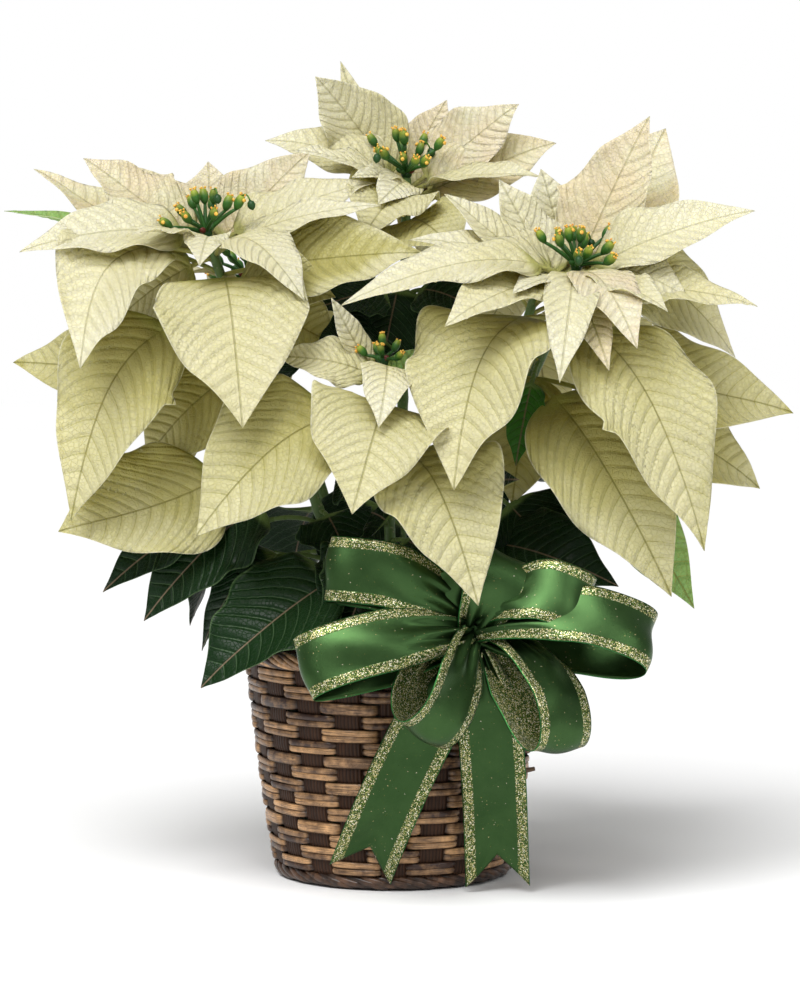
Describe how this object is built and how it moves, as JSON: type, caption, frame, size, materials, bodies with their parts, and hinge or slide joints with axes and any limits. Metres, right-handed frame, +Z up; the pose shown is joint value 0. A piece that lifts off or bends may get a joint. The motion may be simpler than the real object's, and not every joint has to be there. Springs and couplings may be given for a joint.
{
  "type": "potted poinsettia",
  "caption": "White poinsettia in full bloom, potted in a woven cane basket with a green glitter-edged ribbon bow on its front.",
  "frame": {"origin": "centre of the basket's underside, on the surface that it stands on", "axes": "+Z up, -Y towards the front of the basket, where the bow is, +X to the right seen from the front"},
  "size_m": [0.4863, 0.3387, 0.5041],
  "materials": {
    "bract_cream": "soft satin, quilted between fine veins",
    "leaf_green": "semi-gloss dark green with pale veins",
    "cyathium_green": "waxy green with yellow glands",
    "cane_brown": "varnished cane",
    "cane_dark": "dark stained, varnished cane",
    "pot_green": "thin moulded plastic",
    "peat": "crumbly damp peat",
    "wire_green": "green lacquered florist's wire",
    "ribbon_green": "satin with glitter bands along both edges"
  },
  "bodies": {
    "root": {"basket_base": "cane_dark", "basket_border": "cane_brown", "basket_foot": "cane_dark", "basket_wall": "cane_brown", "bow_wire": "wire_green", "bracts_left": "bract_cream", "bracts_top": "bract_cream", "bracts_right": "bract_cream", "bracts_centre": "bract_cream", "bracts_back_left": "bract_cream", "bracts_back_right": "bract_cream", "cyathia_left": "cyathium_green", "cyathia_top": "cyathium_green", "cyathia_right": "cyathium_green", "cyathia_centre": "cyathium_green", "cyathia_back_left": "cyathium_green", "cyathia_back_right": "cyathium_green", "grow_pot": "pot_green", "leafy_stem_left": "leaf_green", "leafy_stem_top": "leaf_green", "leafy_stem_right": "leaf_green", "leafy_stem_centre": "leaf_green", "leafy_stem_back_left": "leaf_green", "leafy_stem_back_right": "leaf_green", "ribbon_bow": "ribbon_green", "soil": "peat"}
  },
  "joints": []
}
